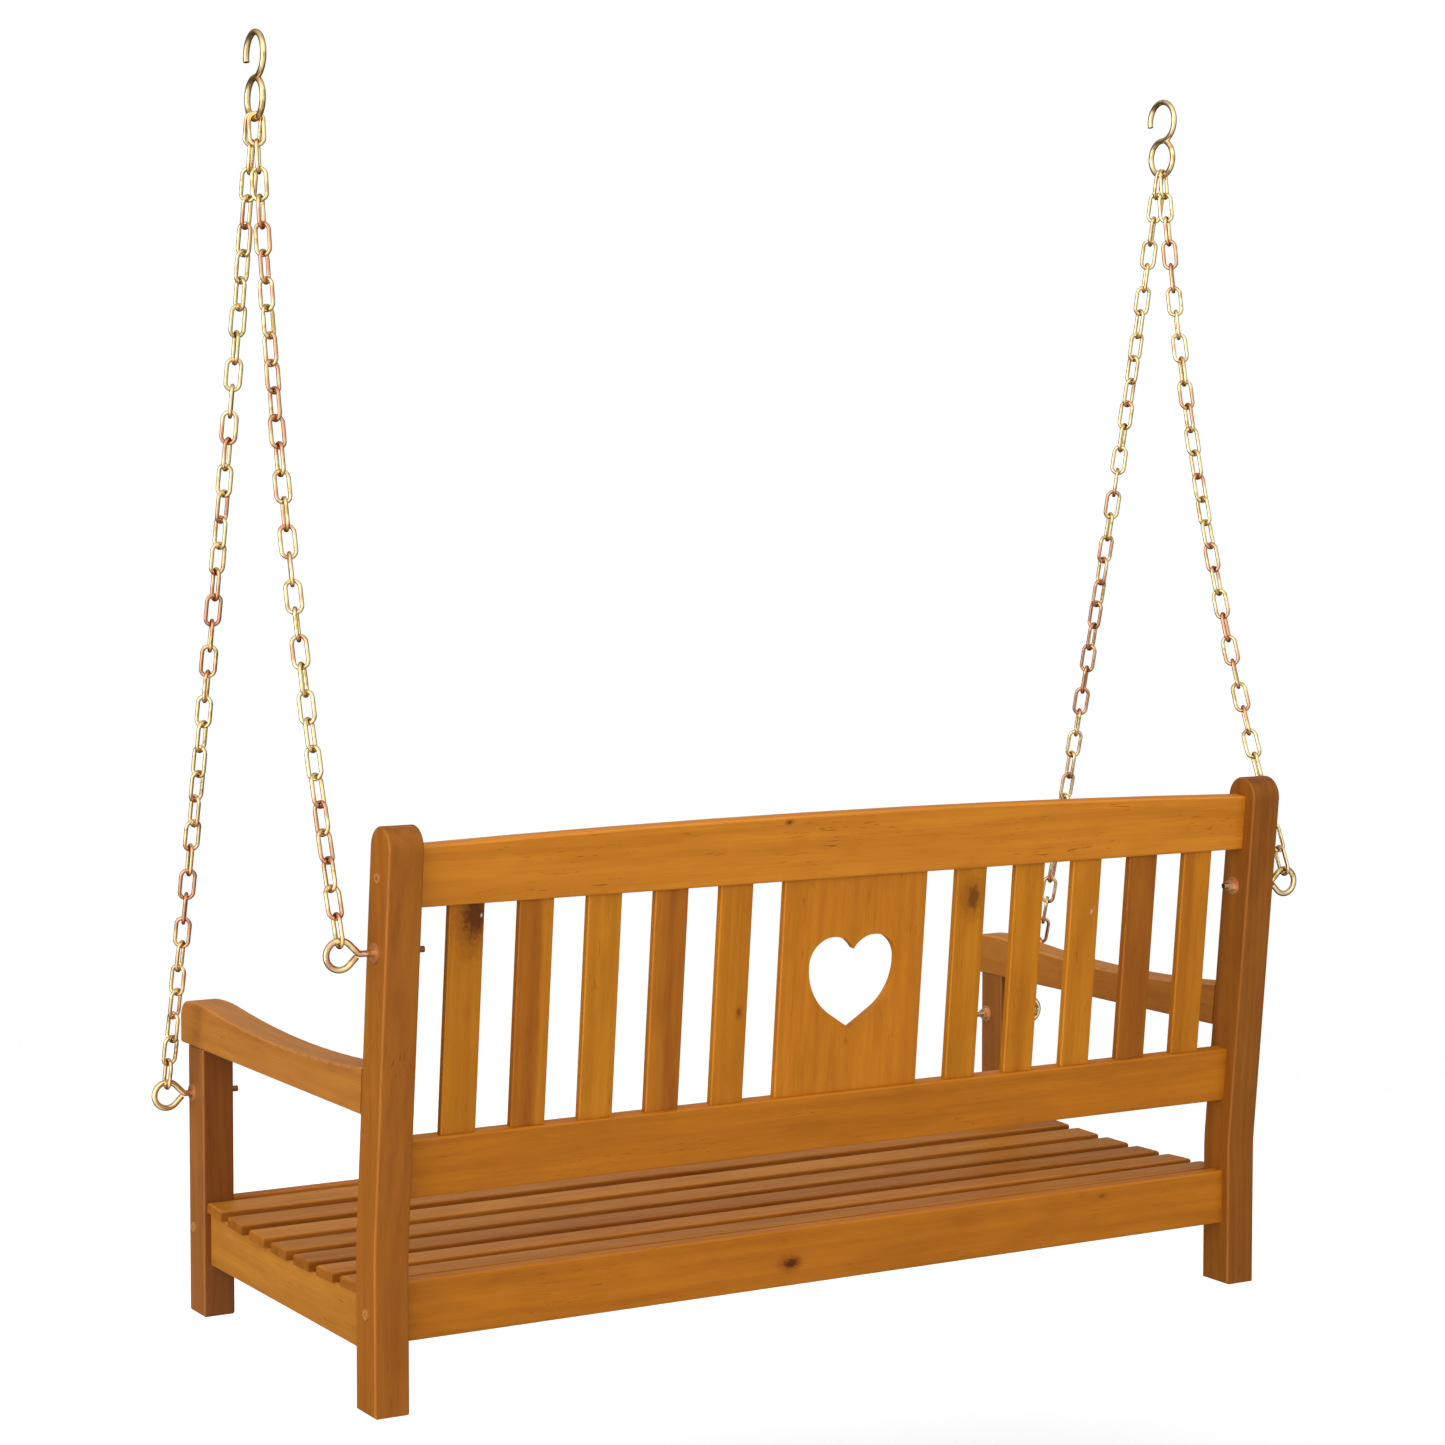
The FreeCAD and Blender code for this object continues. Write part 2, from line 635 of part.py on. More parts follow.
drill_rail_ends(back_rail("back_top_rail", "top_rail_low", "top_rail_high",
                          "top_rail_arch_radius"), "top_rail_middle")
back_rail("back_lower_rail", "lower_rail_low", "lower_rail_high")
SLATS_PER_SIDE = 5
for number in range(SLATS_PER_SIDE):
    outwards = SLATS_PER_SIDE - number
    across = ("heart_panel_width / 2 + %d * back_gap + %s * back_slat_width"
              % (outwards, outwards - 0.5))
    upright_slat("back_slat_%d" % (number + 1), across)
    upright_slat("back_slat_%d" % (2 * SLATS_PER_SIDE - number), "0 - (%s)" % across)
heart_panel("heart_panel")


# ---------------------------------------------------------------- eye bolts

def arc_edge(centre, radius, start, end):
    """Arc in the XY plane from start to end degrees, either way round."""
    def at(angle):
        turned = math.radians(angle)
        return centre + FreeCAD.Vector(math.cos(turned), math.sin(turned), 0) * radius
    return Part.Arc(at(start), at((start + end) / 2), at(end)).toShape()


def swept_wire(label, path, wire, start, direction):
    """Round wire bent along a path that starts at a point in a direction."""
    spine = doc.addObject("Part::Feature", label + "_path")
    spine.Shape = path
    section = doc.addObject("Part::Circle", label + "_section")
    bind(section, "Radius", wire + " / 2")
    section.Placement = FreeCAD.Placement(
        start, FreeCAD.Rotation(FreeCAD.Vector(0, 0, 1), direction))
    sweep = doc.addObject("Part::Sweep", label)
    sweep.Sections = [section]
    sweep.Spine = (spine, ["Edge%d" % (n + 1) for n in range(len(path.Edges))])
    sweep.Solid = True
    sweep.Frenet = False
    return sweep


def eye_path(standoff):
    """Shank along X from the post, a bend, the ring and its closing end."""
    slope = value("eye_slope")
    bend = value("eye_bend_radius")
    ring = value("eye_radius")
    centre = FreeCAD.Vector(value(standoff), 0, 0)
    shank_start = FreeCAD.Vector(0 - value("eye_shank_end"), 0, 0)
    shank_end = FreeCAD.Vector(value(standoff + " - eye_neck"), 0, 0)
    bend_edge = arc_edge(shank_end + FreeCAD.Vector(0, bend, 0), bend, -90, slope - 90)
    ring_edge = arc_edge(centre, ring, 90 + slope, -90 - slope)
    shoulder = Part.LineSegment(bend_edge.Vertexes[-1].Point,
                                ring_edge.Vertexes[0].Point).toShape()
    ring_end = ring_edge.Vertexes[-1].Point
    inwards = FreeCAD.Vector(-math.cos(math.radians(slope)), math.sin(math.radians(slope)), 0)
    closing = Part.LineSegment(ring_end, ring_end + inwards * value("eye_close_length"))
    shank = Part.LineSegment(shank_start, shank_end).toShape()
    return Part.Wire([shank, bend_edge, shoulder, ring_edge, closing.toShape()])


UPRIGHT = FreeCAD.Rotation(FreeCAD.Vector(1, 0, 0), 90)
MIRRORED = FreeCAD.Rotation(FreeCAD.Vector(0, 0, 1), 180)
EYES = (("rear", "rear_eye_forward", "rear_eye_height", "rear_post_width"),
        ("front", "front_eye_forward", "front_eye_height", "front_post_width"))


def eye_bolt(label, side, forward, height, standoff):
    bolt = swept_wire(label, eye_path(standoff), "eye_wire",
                      FreeCAD.Vector(0 - value("eye_shank_end"), 0, 0),
                      FreeCAD.Vector(1, 0, 0))
    keep(bolt, label)
    turn = UPRIGHT if side > 0 else MIRRORED.multiply(UPRIGHT)
    bolt.Placement = FreeCAD.Placement(FreeCAD.Vector(), turn)
    place(bolt, "%d * half_width" % side, forward, height)


def ring_part(name, make_blank, bore):
    """A blank with a round bore along its axis."""
    blank = make_blank(name + "_blank")
    hole = doc.addObject("Part::Cylinder", name + "_bore")
    bind(hole, "Radius", "(%s) / 2" % bore)
    bind(hole, "Height", "washer_thickness + nut_thickness")
    cut = doc.addObject("Part::Cut", name)
    cut.Base = blank
    cut.Tool = hole
    return cut


def washer_blank(name):
    blank = doc.addObject("Part::Cylinder", name)
    bind(blank, "Radius", "washer_diameter / 2")
    bind(blank, "Height", "washer_thickness")
    return blank


def nut_blank(name):
    blank = doc.addObject("Part::Prism", name)
    blank.Polygon = 6
    bind(blank, "Circumradius", "nut_across_flats / 2 / cos(30 deg)")
    bind(blank, "Height", "nut_thickness")
    return blank


def along_x(thing, side, across, forward, height):
    """Lay a part that was made along Z so that it points away from the bench."""
    turn = FreeCAD.Rotation(FreeCAD.Vector(0, 1, 0), 90 * side)
    thing.Placement = FreeCAD.Placement(FreeCAD.Vector(), turn)
    place(thing, "%d * (%s)" % (side, across), forward, height)


def group(label, members):
    """Separate small solids that share one node."""
    compound = doc.addObject("Part::Compound", label)
    compound.Links = members
    return keep(compound, label)


washers = []
nuts = []
for end, forward, height, post_width in EYES:
    for word, side in SIDES:
        eye_bolt("eye_bolt_%s_%s" % (end, word), side, forward, height,
                 end + "_eye_standoff")
        spot = "%s_%s" % (end, word)
        outer = ring_part("washer_outer_" + spot, washer_blank, EYE_HOLE)
        along_x(outer, side, "half_width", forward, height)
        inner = ring_part("washer_inner_" + spot, washer_blank, EYE_HOLE)
        inner_face = "half_width - %s - washer_thickness" % post_width
        along_x(inner, side, inner_face, forward, height)
        nut = ring_part("nut_" + spot, nut_blank, EYE_HOLE)
        along_x(nut, side, inner_face + " - nut_thickness", forward, height)
        washers += [outer, inner]
        nuts.append(nut)
group("eye_bolt_washers", washers)
group("eye_bolt_nuts", nuts)


# ---------------------------------------------------------------- frame screws

def frame_screw(name, side, forward, height):
    """Socket-head screw from the outer face of a post into the end of a rail."""
    shank = doc.addObject("Part::Cylinder", name + "_shank")
    bind(shank, "Radius", "screw_diameter / 2")
    bind(shank, "Height", "screw_length")
    bind(shank, "Placement.Base.z", "0 - screw_length")
    head = doc.addObject("Part::Cylinder", name + "_head")
    bind(head, "Radius", "screw_head_diameter / 2")
    bind(head, "Height", "screw_head_thickness")
    body = doc.addObject("Part::Fuse", name + "_body")
    body.Base = shank
    body.Tool = head
    socket = doc.addObject("Part::Prism", name + "_socket")
    socket.Polygon = 6
    bind(socket, "Circumradius", "screw_socket / 2")
    bind(socket, "Height", "screw_socket_depth")
    bind(socket, "Placement.Base.z", "screw_head_thickness - screw_socket_depth")
    screw = doc.addObject("Part::Cut", name)
    screw.Base = body
    screw.Tool = socket
    along_x(screw, side, "half_width", forward, height)
    return screw


SCREWS = (("top", "0 - top_screw_back", "top_screw_height"),
          ("rear", "0 - rear_screw_back", "rear_screw_height"),
          ("front", "0 - front_screw_back", "front_screw_height"))
group("frame_screws", [frame_screw("screw_%s_%s" % (spot, word), side, forward, height)
                       for spot, forward, height in SCREWS for word, side in SIDES])


# ---------------------------------------------------------------- hooks and chains

def hook_path():
    """S in one plane: crook above, closed loop below, crossing at the neck."""
    crook = value("hook_crook_radius")
    loop = value("hook_loop_radius")
    loop_centre = FreeCAD.Vector(0, 0 - crook - loop, 0)
    upper = arc_edge(FreeCAD.Vector(), crook, value("hook_tip_angle"), -90)
    lower = arc_edge(loop_centre, loop, 90, 360 + value("hook_close_angle"))
    return Part.Wire([upper, lower])


ACROSS = FreeCAD.Rotation(FreeCAD.Vector(0, 1, 0), FreeCAD.Vector(0, 0, 1),
                          FreeCAD.Vector(1, 0, 0), "ZXY")
for word, side in SIDES:
    tip = math.radians(value("hook_tip_angle"))
    tip_point = FreeCAD.Vector(math.cos(tip), math.sin(tip), 0) * value("hook_crook_radius")
    tip_heading = FreeCAD.Vector(math.sin(tip), -math.cos(tip), 0)
    hook = swept_wire("s_hook_" + word, hook_path(), "hook_wire", tip_point, tip_heading)
    keep(hook, "s_hook_" + word)
    hook.Placement = FreeCAD.Placement(FreeCAD.Vector(), ACROSS)
    bind(hook, "Placement.Base.x", "%d * hook_spread" % side)


def link_path():
    """Closed stadium, long axis along Y, flat in the XY plane."""
    bend = value("(chain_link_width - chain_wire) / 2")
    half_leg = FreeCAD.Vector(0, value("(chain_link_length - chain_link_width) / 2"), 0)
    upper = arc_edge(half_leg, bend, 0, 180)
    lower = arc_edge(half_leg * -1, bend, 180, 360)
    legs = [Part.LineSegment(before.Vertexes[-1].Point, after.Vertexes[0].Point).toShape()
            for before, after in ((upper, lower), (lower, upper))]
    return Part.Wire([upper, legs[0], lower, legs[1]])


def chain_link():
    """The one link that every chain repeats."""
    start = FreeCAD.Vector(value("(chain_link_width - chain_wire) / 2"),
                           value("(chain_link_length - chain_link_width) / 2"), 0)
    link = swept_wire("link", link_path(), "chain_wire", start, FreeCAD.Vector(0, 1, 0))
    doc.recompute()
    return link.Shape


LINK = chain_link()
SIDEWAYS = FreeCAD.Vector(1, 0, 0)
DOWN = FreeCAD.Vector(0, 0, -1)


def chain_line(side, end, forward, height):
    """Shallow arc that a chain hangs in, from the hook's loop to the top of an eye ring."""
    loop = FreeCAD.Vector(side * value("hook_spread"), 0,
                          0 - value("hook_crook_radius + hook_loop_radius"))
    eye = FreeCAD.Vector(side * value("half_width + %s_eye_standoff" % end),
                         value("hang_forward") - value(forward),
                         value(height) - value("hang_height") + value("eye_radius"))
    along = (loop - eye).normalize()
    bow = (DOWN - along * DOWN.dot(along)).normalize() * value(end + "_chain_bow")
    return Part.Arc(loop, (loop + eye) / 2 + bow, eye).toShape()


def hung_chain(word, side, end, forward, height):
    """Links turned a quarter from one to the next, with the little twist of a loose chain."""
    line = chain_line(side, end, forward, height)
    count = int(value(end + "_chain_links"))
    twist = value(end + "_chain_twist")
    reach = value("chain_link_length - chain_wire")
    first = value("hook_loop_radius - hook_wire / 2 - chain_wire / 2 - hook_link_gap")
    last = line.Length + value("eye_wire / 2 + chain_wire / 2 + ring_link_gap")
    spacing = (last - first - reach) / (count - 1)
    if spacing > value("chain_link_length - 2 * chain_wire"):
        raise RuntimeError("the %s chains need another link" % end)
    links = []
    for number in range(count):
        spot = line.getParameterByLength(first + reach / 2 + number * spacing)
        upwards = line.tangentAt(spot) * -1
        square = FreeCAD.Rotation(SIDEWAYS, upwards, SIDEWAYS.cross(upwards), "YXZ")
        turn = 90 * number - side * (value("chain_turn") + number * twist)
        frame = FreeCAD.Rotation(upwards, turn).multiply(square)
        link = LINK.copy()
        link.Placement = FreeCAD.Placement(line.valueAt(spot), frame)
        links.append(link)
    name = "%s_%s" % (end, word)
    top_link = doc.addObject("Part::Feature", "top_link_" + name)
    top_link.Shape = links[0]
    keep(top_link, "top_link_" + name)
    chain = doc.addObject("Part::Feature", "chain_" + name)
    chain.Shape = Part.makeCompound(links[1:])
    keep(chain, "chain_" + name)


for end, forward, height, post_width in EYES:
    for word, side in SIDES:
        hung_chain(word, side, end, forward, height)


# ---------------------------------------------------------------- export

doc.recompute()
os.makedirs("parts", exist_ok=True)
for thing in nodes:
    state = " ".join(thing.State)
    if "Invalid" in state or "Error" in state:
        raise RuntimeError("%s did not compute: %s" % (thing.Label, state))
    if thing.Shape.isNull() or not thing.Shape.isValid() or not thing.Shape.Solids:
        raise RuntimeError("%s has no valid solid" % thing.Label)
    thing.Shape.exportStep("parts/%s.step" % thing.Label)
print("%d nodes" % len(nodes))
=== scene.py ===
import math
import random

import bmesh
import bpy
from mathutils import Matrix, Vector


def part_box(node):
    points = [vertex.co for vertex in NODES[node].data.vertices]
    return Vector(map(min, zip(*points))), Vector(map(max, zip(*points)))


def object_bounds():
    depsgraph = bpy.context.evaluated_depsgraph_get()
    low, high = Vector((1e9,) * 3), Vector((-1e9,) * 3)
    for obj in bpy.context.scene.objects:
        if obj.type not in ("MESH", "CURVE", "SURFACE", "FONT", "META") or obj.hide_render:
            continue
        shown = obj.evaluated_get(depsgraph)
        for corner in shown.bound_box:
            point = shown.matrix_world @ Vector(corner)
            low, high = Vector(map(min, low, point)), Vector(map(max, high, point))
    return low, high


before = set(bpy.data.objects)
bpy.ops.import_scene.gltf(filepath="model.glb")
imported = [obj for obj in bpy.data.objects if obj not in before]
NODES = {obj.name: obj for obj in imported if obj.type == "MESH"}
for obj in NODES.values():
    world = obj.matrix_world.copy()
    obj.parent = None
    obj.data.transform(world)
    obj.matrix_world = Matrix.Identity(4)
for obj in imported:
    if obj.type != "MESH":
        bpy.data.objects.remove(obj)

# Porch swing: oiled hardwood bench, yellow-zinc eye bolts, chains and S-hooks.
# Metres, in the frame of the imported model.

CAD_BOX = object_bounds()
# How far the back leans from upright.
LEAN = math.radians(5.74)


# ---------------------------------------------------------------- small node helpers

class Tree:
    """Short ways to add and join the shader nodes of a new material, or of the world."""

    def __init__(self, name, world=None):
        owner = world or bpy.data.materials.new(name)
        owner.use_nodes = True
        self.material = owner
        self.nodes = owner.node_tree.nodes
        self.links = owner.node_tree.links
        self.shader = self.nodes["Background" if world else "Principled BSDF"]

    def add(self, kind, **settings):
        node = self.nodes.new("ShaderNode" + kind)
        for key, setting in settings.items():
            setattr(node, key, setting)
        return node

    def feed(self, socket, source):
        """Join a socket to another node's output, or set its plain value."""
        if isinstance(source, bpy.types.NodeSocket):
            self.links.new(source, socket)
        else:
            socket.default_value = source

    def math(self, operation, first, second=0.0, third=0.0, clamp=False):
        node = self.add("Math", operation=operation, use_clamp=clamp)
        for socket, source in zip(node.inputs, (first, second, third)):
            self.feed(socket, source)
        return node.outputs[0]

    def vector(self, x, y, z):
        node = self.add("CombineXYZ")
        for socket, source in zip(node.inputs, (x, y, z)):
            self.feed(socket, source)
        return node.outputs[0]

    def split(self, source):
        node = self.add("SeparateXYZ")
        self.feed(node.inputs[0], source)
        return node.outputs

    def mapped(self, point, scale=(1, 1, 1), rotation=(0, 0, 0), kind="POINT"):
        node = self.add("Mapping", vector_type=kind)
        self.feed(node.inputs["Vector"], point)
        node.inputs["Scale"].default_value = scale
        node.inputs["Rotation"].default_value = rotation
        return node.outputs[0]

    def noise(self, point, scale, detail=2.0, rough=0.5):
        node = self.add("TexNoise")
        self.feed(node.inputs["Vector"], point)
        node.inputs["Scale"].default_value = scale
        node.inputs["Detail"].default_value = detail
        node.inputs["Roughness"].default_value = rough
        return node.outputs["Fac"]

    def ramp(self, source, low, high):
        """0 below low, 1 above high, smooth between. It falls where low is the larger."""
        node = self.add("MapRange", interpolation_type="SMOOTHSTEP")
        self.feed(node.inputs["Value"], source)
        node.inputs["From Min"].default_value = low
        node.inputs["From Max"].default_value = high
        return node.outputs["Result"]

    def mix(self, amount, first, second, blend="MIX"):
        node = self.add("Mix", data_type="RGBA", blend_type=blend)
        # It has sockets for each kind of data: 6 and 7 take the colours, and 2 gives one.
        self.feed(node.inputs[0], amount)
        self.feed(node.inputs[6], first)
        self.feed(node.inputs[7], second)
        return node.outputs[2]

    def bump(self, height, strength, distance, normal=None):
        node = self.add("Bump")
        node.inputs["Strength"].default_value = strength
        node.inputs["Distance"].default_value = distance
        self.feed(node.inputs["Height"], height)
        if normal is not None:
            self.feed(node.inputs["Normal"], normal)
        return node.outputs["Normal"]


def tone(red, green, blue):
    """A display colour, 0 to 255, as the linear colour that shaders take."""
    def linear(part):
        part /= 255
        return part / 12.92 if part <= 0.04045 else ((part + 0.055) / 1.055) ** 2.4
    return (linear(red), linear(green), linear(blue), 1.0)


# ---------------------------------------------------------------- timber

# What the wood colour is multiplied by in each feature.
DEEPER = (0.72, 0.62, 0.50, 1)
LIGHTER = (1.22, 1.24, 1.10, 1)
HEARTWOOD = (0.66, 0.55, 0.62, 1)
LATE_WOOD = (0.72, 0.64, 0.60, 1)
PORE = (0.42, 0.36, 0.40, 1)
KNOT_HALO = (0.55, 0.46, 0.55, 1)
KNOT_CORE = (0.26, 0.20, 0.26, 1)
# Rounded edges: lighter where the oil is worn thin, and partly a painted highlight.
WORN_AND_HIGHLIGHT = (1.30, 1.34, 1.70, 1)
FILLER = tone(214, 186, 166)

TURN = {"x": (0, 0, 0), "y": (0, 0, math.radians(-90)), "z": (0, math.radians(90), 0)}


def board_frame(name, grain, lean):
    """The turn that lays the grain along X, the board's middle there, and its flat axes."""
    low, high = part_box(name)
    turn = (TURN[grain][0] + lean, TURN[grain][1], TURN[grain][2])
    upright = Matrix.Rotation(lean, 3, "X")
    laid = Matrix.Rotation(turn[2], 3, "Z") @ Matrix.Rotation(turn[1], 3, "Y")
    middle = laid @ upright @ ((low + high) / 2)
    size = laid @ (high - low)
    wide, thin = (1, 2) if abs(size.y) >= abs(size.z) else (2, 1)
    return turn, middle, wide, thin


def timber(name, grain, seed, colour, heart=0.0, heart_from=0.0, heart_side=1,
           rings=0.22, pores=0.5, sides=0.0, knots=(), flecks=(), leaned=False):
    """Oiled hardwood with its grain along x, y or z.

    heart is how dark a band of heartwood shows: it starts heart_from metres off the middle
    of the width, counted towards heart_side (1 or -1), and runs out to that edge. rings and
    pores are how strongly those show, and sides is how strongly painted shade darkens the
    narrow faces. knots holds (x, y, z, radius, strength) and flecks (x, y, z, radius) of pale
    filler, in the frame of the whole part. leaned is for the boards of the leaning back.
    """
    rng = random.Random(seed)
    t = Tree("timber_" + name)
    place = t.add("TexCoord").outputs["Object"]
    turn, middle, wide, thin = board_frame(name, grain, LEAN if leaned else 0.0)
    laid = t.split(t.mapped(place, rotation=turn))
    along = laid[0]
    across = t.math("SUBTRACT", laid[wide], middle[wide])
    deep = t.math("SUBTRACT", laid[thin], middle[thin])
    shift = [rng.uniform(-40, 40) for _ in range(3)]
    own = t.vector(*(t.math("ADD", part, move) for part, move in zip((along, across, deep), shift)))

    # Growth rings about a heart outside the board, wavering along its length.
    sway = [t.noise(t.vector(t.math("MULTIPLY", along, pace), move, 0.0), 1.0, 1.0)
            for pace, move in ((2.2, shift[0]), (1.3, shift[2]))]
    pith = (rng.uniform(-0.03, 0.03), rng.choice((-1, 1)) * rng.uniform(0.05, 0.10))
    waver = t.noise(t.mapped(own, (5, 45, 45)), 1.0, 3.0, 0.6)
    from_pith = []
    for waft, reach, part, off in zip(sway, (0.06, 0.08), (across, deep), pith):
        side = t.math("MULTIPLY_ADD", waft, reach, t.math("ADD", part, off - reach / 2))
        from_pith.append(t.math("POWER", side, 2.0))
    ring = t.math("SQRT", t.math("ADD", *from_pith))
    ring = t.math("MULTIPLY_ADD", waver, 0.011, ring)
    wave = t.math("SINE", t.math("MULTIPLY", ring, 2 * math.pi / rng.uniform(0.009, 0.013)))
    late_wood = t.ramp(wave, -0.2, 1.0)

    # Streaks, fibres, short dark pores and a slow drift of colour.
    streaks = t.noise(t.mapped(own, (2.2, 85, 85)), 1.0, 3.0, 0.55)
    fibres = t.noise(t.mapped(own, (9, 480, 480)), 1.0, 3.0, 0.6)
    drift = t.noise(t.mapped(own, (4.5, 24, 24)), 1.0, 2.0, 0.5)
    clouds = t.noise(t.mapped(own, (22, 60, 60)), 1.0, 2.0, 0.5)
    dashes = t.ramp(t.noise(t.mapped(own, (48, 560, 560)), 1.0, 1.0), 0.64, 0.71)
    patches = t.noise(t.mapped(own, (9, 30, 30)), 1.0, 2.0)
    dashes = t.math("MULTIPLY", dashes, t.ramp(patches, 0.46, 0.66))

    body = t.mix(t.math("MULTIPLY", t.ramp(streaks, 0.42, 0.74), 0.34), colour, DEEPER, "MULTIPLY")
    body = t.mix(t.math("MULTIPLY", t.ramp(streaks, 0.52, 0.24), 0.40), body, LIGHTER, "MULTIPLY")
    body = t.mix(t.math("MULTIPLY", t.ramp(drift, 0.38, 0.72), 0.32), body, DEEPER, "MULTIPLY")
    body = t.mix(t.math("MULTIPLY", t.ramp(clouds, 0.42, 0.80), 0.24), body, DEEPER, "MULTIPLY")
    if heart > 0:
        edge = t.math("MULTIPLY", across, float(heart_side))
        edge = t.math("MULTIPLY_ADD", waver, 0.012, edge)
        inside = t.ramp(edge, heart_from + 0.004, heart_from + 0.012)
        body = t.mix(t.math("MULTIPLY", inside, heart), body, HEARTWOOD, "MULTIPLY")
    body = t.mix(t.math("MULTIPLY", late_wood, rings), body, LATE_WOOD, "MULTIPLY")
    body = t.mix(t.math("MULTIPLY", t.ramp(fibres, 0.46, 0.78), 0.30), body, DEEPER, "MULTIPLY")
    body = t.mix(t.math("MULTIPLY", dashes, pores), body, PORE, "MULTIPLY")

    rough_edge = t.noise(t.mapped(own, (150, 170, 170)), 1.0, 3.0, 0.6)
    for x, y, z, radius, strength in knots:
        span = knot_span(t, place, turn, wide, thin, (x, y, z), rough_edge, radius)
        halo = t.ramp(span, radius * 2.0, radius * 0.5)
        core = t.ramp(span, radius * 0.95, radius * 0.30)
        body = t.mix(t.math("MULTIPLY", halo, strength), body, KNOT_HALO, "MULTIPLY")
        body = t.mix(t.math("MULTIPLY", core, strength), body, KNOT_CORE, "MULTIPLY")
    for x, y, z, radius in flecks:
        span = knot_span(t, place, turn, wide, thin, (x, y, z), rough_edge, radius)
        body = t.mix(t.math("MULTIPLY", t.ramp(span, radius, radius * 0.5), 0.8), body, FILLER)

    # End grain drinks more oil. On rounded edges, where the normal points between two faces,
    # the colour is lightened: partly the oil standing thinner, partly a painted highlight.
    normal = t.split(t.mapped(t.add("TexCoord").outputs["Normal"], rotation=turn, kind="NORMAL"))
    # The narrow faces are darkened by painted shade, as strongly as sides asks.
    for facing, depth in ((normal[0], 0.7), (normal[wide], sides)):
        if depth > 0:
            turned = t.ramp(t.math("ABSOLUTE", facing), 0.55, 0.95)
            body = t.mix(t.math("MULTIPLY", turned, depth), body, DEEPER, "MULTIPLY")
    corner = t.math("MULTIPLY", t.math("ABSOLUTE", normal[1]), t.math("ABSOLUTE", normal[2]))
    worn_and_highlight = t.math("MULTIPLY", t.ramp(corner, 0.10, 0.48),
                  t.math("MULTIPLY_ADD", drift, 1.2, -0.05, clamp=True))
    body = t.mix(worn_and_highlight, body, WORN_AND_HIGHLIGHT, "MULTIPLY")

    t.feed(t.shader.inputs["Base Color"], body)
    t.feed(t.shader.inputs["Roughness"],
           t.math("MULTIPLY_ADD", dashes, 0.2, t.math("MULTIPLY_ADD", fibres, 0.18, 0.34)))
    t.shader.inputs["Specular IOR Level"].default_value = 0.14
    relief = t.math("SUBTRACT", t.math("MULTIPLY", fibres, 0.5), t.math("MULTIPLY", dashes, 0.7))
    waves = t.bump(clouds, 0.10, 0.003)
    t.feed(t.shader.inputs["Normal"], t.bump(relief, 0.22, 0.0005, waves))
    dress(name, t.material)


def knot_span(t, place, turn, wide, thin, centre, rough_edge, radius):
    """Distance from a knot's middle, shorter along the grain and ragged at the edge."""
    reach = t.add("VectorMath", operation="SUBTRACT")
    t.feed(reach.inputs[0], place)
    reach.inputs[1].default_value = centre
    parts = t.split(t.mapped(reach.outputs[0], rotation=turn))
    span = 0.0
    for part, squeeze in ((parts[0], 0.62), (parts[wide], 1.0), (parts[thin], 0.3)):
        span = t.math("ADD", t.math("POWER", t.math("MULTIPLY", part, squeeze), 2.0), span)
    return t.math("MULTIPLY_ADD", rough_edge, radius * 1.3,
                  t.math("SUBTRACT", t.math("SQRT", span), radius * 0.65))


def dress(name, material):
    data = NODES[name].data
    data.materials.clear()
    data.materials.append(material)


# Each board: grain direction, oiled colour, then what sets it apart from its neighbours.

